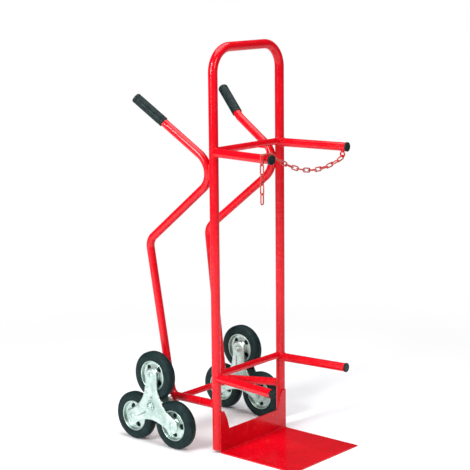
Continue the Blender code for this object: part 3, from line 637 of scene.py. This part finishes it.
def make_welds():
    seed = 1
    for side, sign in SIDES.items():
        post = at_plane(sign * UPRIGHT_X, 0, 0)
        for level in ("upper", "lower"):
            start, tip = arm_line(sign, ARM_HEIGHTS[level])
            ring = saddle(post, FRAME_R, start, tip - start, ARM_R)
            bead(f"weld_{level}_arm_{side}", ring, WELD, True, seed)
            start = at_plane(sign * UPRIGHT_X, 0, BAR_HEIGHTS[level])
            ring = saddle(post, FRAME_R, start, Vector((-sign, 0, 0)), BAR_R)
            bead(f"weld_{level}_bar_{side}", ring, THIN_WELD, True, seed + 1)
            seed += 2
        corners = HANDLE_CORNERS if sign < 0 else mirrored(HANDLE_CORNERS)
        foot, end = corners[-2:]
        ring = saddle(post, FRAME_R, end, foot - end, HANDLE_R)
        bead(f"weld_stay_{side}", ring, WELD, True, seed)
        middle_x = sign * (UPRIGHT_X - 0.003)
        for edge in (-1, 1):
            a = Vector((middle_x + edge * 0.0090, UPRIGHT_Y + 0.0150, corners[2].z - ELBOW_WELD_DROP))
            b = a + Vector((0, 0, ELBOW_WELD_LENGTH))
            label = "inner" if edge == -sign else "outer"
            bead(f"weld_elbow_{label}_{side}", along_line(a, b), ELBOW_WELD, seed=seed + 2 + edge)
            at = foot.x + edge * (HANDLE_R - 0.0005)
            ring = [
                Vector((at, AXLE.y + AXLE_TUBE_R * math.cos(t), AXLE.z + AXLE_TUBE_R * math.sin(t)))
                for t in (math.tau * i / 90 for i in range(90))
            ]
            bead(f"weld_axle_{label}_{side}", ring, THIN_WELD, True, seed + 5 + edge)
        seed += 8
        toe_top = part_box("toe_plate")[1].z
        half_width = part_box("toe_plate")[1].x
        a = Vector((sign * (half_width - 0.0002), UPRIGHT_Y - FRAME_R - 0.0010, TOE_WELD_FOOT))
        b = Vector((a.x, a.y, toe_top - 0.004))
        bead(f"weld_toe_outer_{side}", along_line(a, b), 0.0022, seed=seed)
        a = Vector((sign * (UPRIGHT_X - 0.0085), UPRIGHT_Y - FRAME_R + 0.0012, TOE_WELD_FOOT))
        b = Vector((a.x, a.y, toe_top - 0.004))
        bead(f"weld_toe_inner_{side}", along_line(a, b), WELD, seed=seed + 1)
        seed += 2


# ------------------------ toe plate


def finish_toe_plate():
    """The CAD sheet with its edges eased."""
    plate = NODES["toe_plate"]
    edge = plate.modifiers.new("eased_edges", "BEVEL")
    edge.width = 0.0011
    edge.segments = 3
    edge.limit_method = "ANGLE"
    edge.angle_limit = math.radians(40)
    plate.data.materials.clear()
    plate.data.materials.append(FINISHES["red_paint"])
    plate.data.shade_smooth()
    plate.data.set_sharp_from_angle(angle=math.radians(30))


# ------------------------ axle

AXLE_BORE = 0.0083
AXLE_ROD = 0.0079
HUB_BORE = 0.0085


def make_axle():
    tube = soft_corners(
        [(AXLE_TUBE_R, AXLE_TUBE_END), (AXLE_TUBE_R, -AXLE_TUBE_END),
         (AXLE_BORE, -AXLE_TUBE_END), (AXLE_BORE, AXLE_TUBE_END)], 0.0008, 3,
    )
    across = outwards(AXLE, 1)
    piece("axle_sleeve_tube", *moved(turned(tube, 48, True), across), "red_paint", "frame", "axle_tube")
    end = extent("axle_shaft").x / 2
    shaft = soft_corners([(0.0, end), (AXLE_ROD, end), (AXLE_ROD, -end), (0.0, -end)], 0.0010, 3)
    piece("axle_rod", *moved(turned(shaft, 48), across), "zinc_plate", "frame", "axle_shaft")
    for side, sign in SIDES.items():
        low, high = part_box("axle_spacer_" + side)
        half = (high.x - low.x) / 2
        wide = (high.z - low.z) / 2
        waist = wide - 0.0007
        profile = [
            (wide, half), (wide, half - 0.004), (waist, half - 0.006), (waist, -half + 0.006),
            (wide, -half + 0.004), (wide, -half), (AXLE_BORE, -half), (AXLE_BORE, half),
        ]
        at = outwards((low + high) / 2, 1)
        spacer = moved(turned(soft_corners(profile, 0.0006, 2), 48, True), at)
        piece("spacer_" + side, *spacer, "zinc_plate", "frame", "axle_spacer_" + side)
        low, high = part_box("axle_cap_" + side)
        length = high.x - low.x
        wide = (high.z - low.z) / 2
        dome = wide - 0.0040
        profile = [
            (0.0, length - 0.0046), (0.0042, length - 0.0046),
            (0.0048, length - 0.0002), (0.0066, length - 0.0004),
            (dome - 0.0014, length - 0.0020), (dome, length - 0.0045), (dome, 0.0030),
            (wide - 0.0006, 0.0026), (wide, 0.0016), (wide, 0.0), (AXLE_BORE, 0.0),
            (AXLE_BORE, length - 0.0052), (0.0, length - 0.0052),
        ]
        inner_x = low.x if sign > 0 else high.x
        at = outwards(Vector((inner_x, AXLE.y, AXLE.z)), sign)
        cap = moved(turned(soft_corners(profile, 0.0005, 2), 48), at)
        piece("domed_axle_cap_" + side, *cap, "zinc_plate", "frame", "axle_cap_" + side)


# ------------------------ tri-star plates

LOBE_RADIUS = 0.026
WAIST = 0.047
PLATE_THICKNESS = extent("star_plate_outer_right").x
EDGE_FALL = 0.0022              # the rolled edge
EDGE_WIDTH = 0.0045
PAD_RISE = 0.0010               # the pads round the hub and the bolts
GROOVE_DEPTH = 0.0018           # the sunk panel along each arm
STAR_SPACING = 0.0024           # between the plate's mesh points
STAR_ROWS = 60
BORE_STEPS = 40


def arc(centre, radius, start, end, steps):
    return [
        Vector((centre[0] + radius * math.cos(start + (end - start) * i / steps),
                centre[1] + radius * math.sin(start + (end - start) * i / steps)))
        for i in range(steps + 1)
    ]


def star_outline(lobe=LOBE_RADIUS, waist=WAIST):
    """Three round lobes joined by hollow arcs that touch them and pass the waist distance."""
    sixty = math.radians(60)
    shift = waist - lobe
    distance = (STAR_RADIUS ** 2 - shift ** 2) / (2 * (STAR_RADIUS * math.cos(sixty) - shift))
    hollow = distance - waist
    lean = math.asin(distance * math.sin(sixty) / (hollow + lobe))
    points = []
    for place in PLACES:
        angle = math.atan2(WHEEL_AT[place].z, WHEEL_AT[place].y)
        centre = (WHEEL_AT[place].y, WHEEL_AT[place].z)
        points.append((angle, arc(centre, lobe, angle - math.pi + lean, angle + math.pi - lean, 36)))
        between = angle + sixty
        middle_at = (distance * math.cos(between), distance * math.sin(between))
        spread = math.pi - sixty - lean
        facing = between + math.pi
        points.append((between, arc(middle_at, hollow, facing + spread, facing - spread, 24)[1:-1]))
    ordered = sorted(points, key=lambda part: part[0] % math.tau)
    return [p for _, run in ordered for p in run]


def star_relief(point, edge_distance):
    """How far the pressed plate stands out, in metres: rolled edge, sunk panels, raised pads and hub."""
    height = -EDGE_FALL * (1 - smooth_step(edge_distance, 0.0, EDGE_WIDTH))
    from_hub = point.length
    pad = 0.0
    groove = 0.0
    for place in PLACES:
        centre = Vector((WHEEL_AT[place].y, WHEEL_AT[place].z))
        away = (point - centre).length
        pad = max(pad, 1 - smooth_step(away, 0.0125, 0.0160))
        arm = centre.normalized()
        along = point.dot(arm)
        across = abs(point.x * arm.y - point.y * arm.x)
        if along > 0:
            inside = smooth_step(along, 0.026, 0.034) * (1 - smooth_step(along, 0.070, 0.079))
            groove = max(groove, inside * (1 - smooth_step(across, 0.0055, 0.0095)))
    hub = 1 - smooth_step(from_hub, 0.0185, 0.0225)
    return height + PAD_RISE * max(pad, hub) - GROOVE_DEPTH * groove


def plate_points(outline, bore):
    """An even triangular grid of points inside the outline, clear of its edge and of the bore."""
    rows = range(-STAR_ROWS, STAR_ROWS + 1)
    row_height = STAR_SPACING * 0.866
    grid = [Vector((STAR_SPACING * (i + 0.5 * (j % 2)), row_height * j)) for j in rows for i in rows]
    grid = [p for p in grid if within(p, outline)]
    grid = [p for p in grid if min((p - q).length for q in outline) > STAR_SPACING * 0.55]
    return [p for p in grid if p.length > bore + STAR_SPACING * 0.5]


def pressed_star():
    """A relief-pressed plate in the (Y, Z) plane, as (points, faces) with X outwards from its middle."""
    outline = star_outline()
    bore = extent("star_hub_right").z / 2 - 0.0004
    turns = [math.tau * i / BORE_STEPS for i in range(BORE_STEPS)]
    ring = [Vector((bore * math.cos(t), bore * math.sin(t))) for t in turns]
    loop = list(range(len(outline)))
    hole = [len(outline) + i for i in range(len(ring))]
    given = outline + ring + plate_points(outline, bore)
    made = geometry.delaunay_2d_cdt(given, [], [loop, hole[::-1]], 0, 1e-7)
    points = made[0]
    kept = []
    for triangle in made[2]:
        centre = sum((points[i] for i in triangle), Vector((0, 0))) / 3
        if centre.length > bore * 0.98 and within(centre, outline):
            kept.append(tuple(triangle))
    top = []
    bottom = []
    half = PLATE_THICKNESS / 2
    for p in points:
        height = star_relief(p, min((p - q).length for q in outline))
        top.append(Vector((half + min(height, PAD_RISE), p.x, p.y)))
        bottom.append(Vector((-half + height, p.x, p.y)))
    count = len(points)
    faces = kept + [tuple(i + count for i in reversed(t)) for t in kept]
    border = {(a, b) for t in kept for a, b in zip(t, t[1:] + t[:1])}
    faces += [(b, a, a + count, b + count) for a, b in sorted(border) if (b, a) not in border]
    return top + bottom, faces


def within(point, outline):
    """Whether a 2D point is inside a closed outline."""
    odd = False
    for a, b in zip(outline, outline[1:] + outline[:1]):
        if (a.y > point.y) != (b.y > point.y):
            if point.x < a.x + (point.y - a.y) / (b.y - a.y) * (b.x - a.x):
                odd = not odd
    return odd


def make_stars():
    star = pressed_star()
    for side, sign in SIDES.items():
        for layer, out in (("outer", 1), ("inner", -1)):
            name = f"star_plate_{layer}_{side}"
            place = Vector((middle(name).x, AXLE.y, AXLE.z))
            facing = Matrix.Diagonal((sign * out, 1, 1, 1))
            body = "star_" + side
            plate = moved(star, Matrix.Translation(place) @ facing)
            piece("pressed_" + name, *plate, "zinc_plate", body, name, sharp=50.0)
        low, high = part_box("star_hub_" + side)
        half = (high.x - low.x) / 2
        wide = (high.z - low.z) / 2
        waist = wide - 0.0012
        profile = [
            (wide, half), (wide, half - 0.007), (waist, half - 0.009), (waist, -half + 0.009),
            (wide, -half + 0.007), (wide, -half), (HUB_BORE, -half), (HUB_BORE, half),
        ]
        at = outwards((low + high) / 2, 1)
        hub = moved(turned(soft_corners(profile, 0.0006, 2), 48, True), at)
        piece("turned_star_hub_" + side, *hub, "zinc_plate", "star_" + side, "star_hub_" + side)


BOLT_SHANK = 0.0049
NUT_CORNER = 0.0105
NUT_BORE = 0.0050
NUT_STEPS = 72


def bolt_head_and_nut(side, place, sign):
    """A domed bolt with a dimple and a flange, and a chamfered nut on its inner end."""
    label = f"{side}_{place}"
    body = "star_" + side
    low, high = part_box("wheel_bolt_" + label)
    outer, inner = (high.x, low.x) if sign > 0 else (low.x, high.x)
    centre = middle("wheel_bolt_" + label)
    length = abs(outer - inner)
    head = extent("wheel_bolt_" + label).z / 2
    profile = [
        (0.0, -0.0024), (0.0026, -0.0024), (0.0031, -0.0002), (0.0052, -0.0003),
        (head - 0.0018, -0.0012), (head - 0.0003, -0.0022), (head, -0.0030),
        (BOLT_SHANK, -0.0030), (BOLT_SHANK, -length), (0.0, -length),
    ]
    at = outwards(Vector((outer, centre.y, centre.z)), sign)
    bolt = moved(turned(soft_corners(profile, 0.0005, 2), 48), at)
    piece("domed_bolt_" + label, *bolt, "zinc_plate", body, "wheel_bolt_" + label)
    low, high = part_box("wheel_nut_" + label)
    nut = moved(chamfered_nut(high.x - low.x, NUT_CORNER), outwards((low + high) / 2, 1))
    piece("hex_nut_" + label, *nut, "zinc_plate", body, "wheel_nut_" + label)


def chamfered_nut(height, corner_radius):
    """A hexagon nut whose faces are cut back to cones, as on a real one."""
    flat = corner_radius * math.cos(math.pi / 6)
    flank = 0.97 * flat
    half = height / 2
    verts = []
    for k in range(NUT_STEPS):
        angle = math.tau * k / NUT_STEPS
        corner = flat / math.cos((angle + math.pi / 6) % (math.pi / 3) - math.pi / 6)
        fallen = half - max(0.0, corner - flank) * math.tan(math.radians(30))
        side = [(NUT_BORE, half - 0.0006), (NUT_BORE + 0.0007, half), (flank, half), (corner, fallen)]
        section = side + [(r, -z) for r, z in reversed(side)]
        verts += [Vector((r * math.cos(angle), r * math.sin(angle), z)) for r, z in section]
    count = len(section)
    faces = []
    for k in range(NUT_STEPS):
        here = k * count
        beyond = (k + 1) % NUT_STEPS * count
        for i in range(count):
            n = (i + 1) % count
            faces.append((here + i, beyond + i, beyond + n, here + n))
    return verts, faces


# ------------------------ wheels

SKIN = 0.0002                   # how far a wheel's surfaces stay inside the CAD's
WHEEL_STEPS = 96
WINDOWS = 4
WINDOW_RADIUS = 0.0095
WINDOW_RING = 0.0315            # from the wheel's axis to a window's middle
WINDOW_EASE = 0.0006
CUTTER_HALF = 0.02
# a thin dark sheet in the disc's middle plane that fills its windows: painted shade standing in for the dark
# seen through them
SHADE_SHEET_OUTER = 0.0450
SHADE_SHEET_INNER = 0.0180
SHADE_SHEET_HALF = 0.0012
WINDOW_TURNS = {"top": 45.0, "rear": 20.0, "front": 0.0}


def tyre_profile():
    """From the outer bead over the tread to the inner one: ribbed sidewalls and two tread grooves."""
    crown = WHEEL_R - SKIN
    half = TYRE_HALF - SKIN
    inner = RIM_R - 2 * SKIN
    side = [
        (inner, half - 0.0022), (inner + 0.0020, half - 0.0008), (inner + 0.0050, half - 0.0002),
        (inner + 0.0075, half - 0.0010), (inner + 0.0100, half - 0.0002), (inner + 0.0135, half - 0.0004),
        (inner + 0.0155, half - 0.0012), (crown - 0.0085, half - 0.0010), (crown - 0.0045, half - 0.0028),
        (crown - 0.0016, half - 0.0060), (crown - 0.0006, half - 0.0085),
        (crown - 0.0004, half - 0.0100), (crown - 0.0016, half - 0.0108), (crown - 0.0016, half - 0.0118),
        (crown - 0.0002, half - 0.0126),
    ]
    return side + [(crown, 0.0)] + [(r, -x) for r, x in reversed(side)]


def disc_profile():
    """The two pressed halves as one section: rolled rim, well, coned web and bearing boss."""
    boss = 0.0120
    lip = RIM_R - 0.0055
    half = 0.0155
    bore = 0.0055
    boss_half = extent("wheel_centre_right_top").x / 2
    one_side = [
        (bore, boss_half), (boss, boss_half), (boss, 0.0125), (boss + 0.0045, 0.0112),
        (0.0235, 0.0062), (0.0395, 0.0034), (lip - 0.0012, 0.0040), (lip, 0.0075),
        (lip + 0.0004, 0.0125), (lip + 0.0022, half), (RIM_R - 0.0008, half),
        (RIM_R - 0.0002, 0.0128), (RIM_R - 0.0010, 0.0110),
    ]
    return soft_corners(one_side + [(r, -x) for r, x in reversed(one_side)], 0.0012, 3)


def window_cutters():
    parts = []
    for k in range(WINDOWS):
        angle = math.tau * k / WINDOWS
        rod = [
            (0.0, CUTTER_HALF), (WINDOW_RADIUS, CUTTER_HALF),
            (WINDOW_RADIUS, -CUTTER_HALF), (0.0, -CUTTER_HALF),
        ]
        at = Vector((WINDOW_RING * math.cos(angle), WINDOW_RING * math.sin(angle), 0))
        parts.append(moved(turned(soft_corners(rod, 0.0001, 1), 40), Matrix.Translation(at)))
    return join(*parts)


def helper_object(name, part):
    obj = merged_object(name, *part)
    bpy.context.scene.collection.objects.link(obj)
    return obj


def windowed_disc():
    """The wheel's disc with its windows cut and their edges eased, as one mesh on its own Z axis."""
    disc = helper_object("disc_blank", turned(disc_profile(), WHEEL_STEPS, True))
    tool = helper_object("disc_windows", window_cutters())
    cut = disc.modifiers.new("windows", "BOOLEAN")
    cut.operation = "DIFFERENCE"
    cut.solver = "EXACT"
    cut.object = tool
    ease = disc.modifiers.new("eased", "BEVEL")
    ease.width = WINDOW_EASE
    ease.segments = 2
    ease.limit_method = "ANGLE"
    ease.angle_limit = math.radians(60)
    bpy.context.view_layer.update()
    graph = bpy.context.evaluated_depsgraph_get()
    mesh = bpy.data.meshes.new_from_object(disc.evaluated_get(graph))
    for obj in (disc, tool):
        bpy.data.objects.remove(obj, do_unlink=True)
    return mesh


def make_wheels():
    disc = windowed_disc()
    tyre = turned(tyre_profile(), WHEEL_STEPS, True)
    shade_sheet_section = [
        (SHADE_SHEET_OUTER, SHADE_SHEET_HALF), (SHADE_SHEET_INNER, SHADE_SHEET_HALF), (SHADE_SHEET_INNER, -SHADE_SHEET_HALF), (SHADE_SHEET_OUTER, -SHADE_SHEET_HALF),
    ]
    shade_sheet = turned(soft_corners(shade_sheet_section, 0.0003, 2), 64, True)
    for side, sign in SIDES.items():
        for place in PLACES:
            label = f"{side}_{place}"
            body = "wheel_" + label
            centre = Vector(JOINTS[body + "_roll"]["pos_m"])
            turn = Matrix.Rotation(math.radians(WINDOW_TURNS[place]), 4, "Z")
            at = outwards(centre, sign) @ turn
            skin = moved(tyre, at)
            piece("solid_tyre_" + label, *skin, "tyre_rubber", body, "tyre_" + label, sharp=60.0)
            # the dark tyre-rubber sheet closing the disc's windows is painted shade, not a real part of the
            # wheel
            piece("wheel_core_" + label, *moved(shade_sheet, at), "tyre_rubber", body)
            mesh = disc.copy()
            mesh.transform(at)
            obj = bpy.data.objects.new("pressed_disc_" + label, mesh)
            finished(obj, "zinc_plate", body, "wheel_centre_" + label)
            bolt_head_and_nut(side, place, sign)


# ------------------------ chain

LINK_WIRE = 0.0021              # the wire's radius
LINK_HALF_WIDTH = 0.0059        # to the wire's centre
CHAIN_SAG = 0.047
HOOK_BEND = 0.007
HOOK_WELD = 0.0034
EYE_RADIUS = 0.008
EYE_WIRE = 0.0025               # the ring rod's radius
EYE_WELD_HALF = 0.004
LINK_CLEARANCE = 0.0002
SPAN_LINKS = 13                 # odd, so that the last link stands upright on the ring
TAIL_LINKS = 5
TAIL_PITCH = 0.0297
LINE_STEPS = 600                # steps that measure the hanging line


def link(inner_length):
    """One link in its XZ plane, long along X: two straights and two half rounds."""
    straight = inner_length / 2 + LINK_WIRE - LINK_HALF_WIDTH
    path = []
    for end in (1, -1):
        for i in range(13):
            angle = math.pi * (i / 12 - 0.5)
            path.append(Vector((
                end * (straight + LINK_HALF_WIDTH * math.cos(angle)), 0.0,
                end * LINK_HALF_WIDTH * math.sin(angle),
            )))
    return sweep(path, LINK_WIRE, sides=12, closed=True)


def placed_link(centre, along, turn, inner_length):
    """A link centred at a place and lying along a direction, turned about it."""
    along = along.normalized()
    side = Vector((0, 1, 0)) if abs(along.y) < 0.9 else Vector((1, 0, 0))
    up = along.cross(side).normalized()
    side = up.cross(along).normalized()
    basis = Matrix((along, side, up)).transposed().to_4x4()
    at = Matrix.Translation(centre) @ basis @ Matrix.Rotation(turn, 4, "X")
    return moved(link(inner_length), at)


def span_line(start, end, share):
    return start.lerp(end, share) - Vector((0, 0, CHAIN_SAG * 4 * share * (1 - share)))


def even_points(start, end, count):
    """Points at even distances along the hanging line, both ends among them."""
    fine = [span_line(start, end, i / LINE_STEPS) for i in range(LINE_STEPS + 1)]
    lengths = [0.0]
    for a, b in zip(fine, fine[1:]):
        lengths.append(lengths[-1] + (b - a).length)
    made = []
    k = 0
    for i in range(count + 1):
        target = lengths[-1] * i / count
        while k < LINE_STEPS - 1 and lengths[k + 1] < target:
            k += 1
        share = (target - lengths[k]) / (lengths[k + 1] - lengths[k])
        made.append(fine[k].lerp(fine[k + 1], min(1.0, share)))
    return made, lengths[-1] / count


def make_chain():
    start = Vector(JOINTS["chain_span_swing"]["pos_m"])
    tail_top = Vector(JOINTS["chain_tail_swing"]["pos_m"])
    rest_z = ARM_HEIGHTS["upper"] + ARM_R + LINK_WIRE + LINK_CLEARANCE
    ring_low = middle("chain_eye") - Vector((0, 0, EYE_RADIUS))
    near = Vector((start.x, start.y, rest_z))
    far = ring_low + Vector((EYE_WIRE + LINK_CLEARANCE, 0, 0))
    points, pitch = even_points(near, far, SPAN_LINKS)
    links = []
    for i, (a, b) in enumerate(zip(points, points[1:])):
        turn = math.pi / 2 * (i % 2)
        links.append(placed_link((a + b) / 2, b - a, turn, pitch - LINK_CLEARANCE))
    piece("chain_span_links", *join(*links), "chain_paint", "chain_span", "chain_span", sharp=80.0)
    outer = Vector((tail_top.x, tail_top.y, rest_z))
    held = placed_link((outer + near) / 2, near - outer, math.pi / 2, (near - outer).length)
    piece("chain_hooked_link", *held, "chain_paint", "frame", sharp=80.0)
    hanging = []
    for i in range(TAIL_LINKS):
        centre = outer - Vector((0, 0, TAIL_PITCH * (i + 0.5)))
        turn = math.pi / 2 * (i % 2)
        hanging.append(placed_link(centre, Vector((0.0, 0.0, -1.0)), turn, TAIL_PITCH - LINK_CLEARANCE))
    piece("chain_tail_links", *join(*hanging), "chain_paint", "chain_tail", "chain_tail", sharp=80.0)


def make_chain_fittings():
    low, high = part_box("chain_hook")
    radius = (high.x - low.x) / 2
    post_x, post_y = (low.x + high.x) / 2, low.y + radius
    bent_z = high.z - radius
    corners = [
        Vector((post_x, post_y, low.z - 0.0020)),
        Vector((post_x, post_y, bent_z)),
        Vector((post_x, high.y, bent_z)),
    ]
    path = rounded_path(corners, [HOOK_BEND])
    piece("bent_hook_rod", *sweep(path, radius, sides=28), "red_paint", "frame", "chain_hook")
    ring = [
        Vector((post_x + HOOK_WELD * math.cos(t), post_y + HOOK_WELD * math.sin(t), low.z + 0.0004))
        for t in (math.tau * i / 60 for i in range(60))
    ]
    bead("weld_hook", ring, 0.0016, True, 71)
    centre = middle("chain_eye")
    path = [
        centre + Vector((0, EYE_RADIUS * math.cos(t), EYE_RADIUS * math.sin(t)))
        for t in (math.tau * i / 64 for i in range(64))
    ]
    piece("eye_ring", *sweep(path, EYE_WIRE, sides=20, closed=True), "red_paint", "frame", "chain_eye")
    for edge in (-1, 1):
        weld_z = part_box("chain_eye")[1].z - 0.0012
        a = Vector((centre.x - EYE_WELD_HALF, centre.y + edge * EYE_WELD_HALF, weld_z))
        label = "front" if edge < 0 else "rear"
        line = along_line(a, a + Vector((2 * EYE_WELD_HALF, 0, 0)))
        bead(f"weld_eye_{label}", line, 0.0019, seed=80 + edge)


# ------------------------ floor, light and camera


FLOOR_HALF = 60.0
LIT_POINT = Vector((0.0, 0.0, 0.65))
WORLD_LIGHT = 0.08


def make_floor():
    signs = ((-1, -1), (1, -1), (1, 1), (-1, 1))
    verts = [(x * FLOOR_HALF, y * FLOOR_HALF, 0) for x, y in signs]
    mesh = bpy.data.meshes.new("studio_floor")
    mesh.from_pydata(verts, [], [(0, 1, 2, 3)])
    floor = bpy.data.objects.new("studio_floor", mesh)
    bpy.context.scene.collection.objects.link(floor)
    floor.data.materials.append(floor_finish())


def area_light(name, place, size, power):
    """A soft box that faces the trolley's middle."""
    data = bpy.data.lights.new(name, "AREA")
    data.shape = "RECTANGLE"
    data.size = size[0]
    data.size_y = size[1]
    data.energy = power
    obj = bpy.data.objects.new(name, data)
    bpy.context.scene.collection.objects.link(obj)
    obj.location = place
    obj.rotation_euler = (LIT_POINT - Vector(place)).to_track_quat("-Z", "Y").to_euler()


def make_lights():
    area_light("key_softbox", (-3.6, 0.3, 2.2), (0.9, 2.4), 160.0)
    area_light("front_softbox", (-0.8, -3.6, 2.4), (1.0, 1.6), 56.0)
    area_light("overhead_softbox", (0.1, -0.1, 4.2), (3.6, 3.6), 165.0)
    world = bpy.data.worlds.new("white_studio")
    world.use_nodes = True
    tree = world.node_tree
    light = tree.nodes["Background"]
    light.inputs["Color"].default_value = (0.97, 0.985, 1.0, 1.0)
    light.inputs["Strength"].default_value = WORLD_LIGHT
    seen = tree.nodes.new("ShaderNodeBackground")
    seen.inputs["Color"].default_value = (1.0, 1.0, 1.0, 1.0)
    mix = tree.nodes.new("ShaderNodeMixShader")
    rays = tree.nodes.new("ShaderNodeLightPath")
    tree.links.new(rays.outputs["Is Camera Ray"], mix.inputs["Fac"])
    tree.links.new(light.outputs["Background"], mix.inputs[1])
    tree.links.new(seen.outputs["Background"], mix.inputs[2])
    tree.links.new(mix.outputs["Shader"], tree.nodes["World Output"].inputs["Surface"])
    bpy.context.scene.world = world


CAMERA_PLACE = Vector((-3.608, -3.075, 1.591))
CAMERA_FORWARD = Vector((0.7453, 0.6400, -0.1869)).normalized()
CAMERA_ROLL = math.radians(-0.57)
CAMERA_LENS = 113.4             # millimetres, on a sensor 36 mm wide


def make_camera():
    data = bpy.data.cameras.new("product_camera")
    data.lens = CAMERA_LENS
    data.sensor_width = 36.0
    data.clip_end = 200.0
    camera = bpy.data.objects.new("product_camera", data)
    bpy.context.scene.collection.objects.link(camera)
    right = CAMERA_FORWARD.cross(Vector((0, 0, 1))).normalized()
    up = right.cross(CAMERA_FORWARD)
    across = right * math.cos(CAMERA_ROLL) + up * math.sin(CAMERA_ROLL)
    above = up * math.cos(CAMERA_ROLL) - right * math.sin(CAMERA_ROLL)
    basis = Matrix((across, above, -CAMERA_FORWARD)).transposed().to_4x4()
    camera.matrix_world = Matrix.Translation(CAMERA_PLACE) @ basis
    bpy.context.scene.camera = camera
    bpy.context.scene.view_settings.view_transform = "Standard"


# ------------------------ the scene

make_camera()
make_lights()
make_floor()
make_hoop()
make_bars()
make_arms()
make_handles()
make_welds()
finish_toe_plate()
make_axle()
make_stars()
make_wheels()
make_chain_fittings()
make_chain()
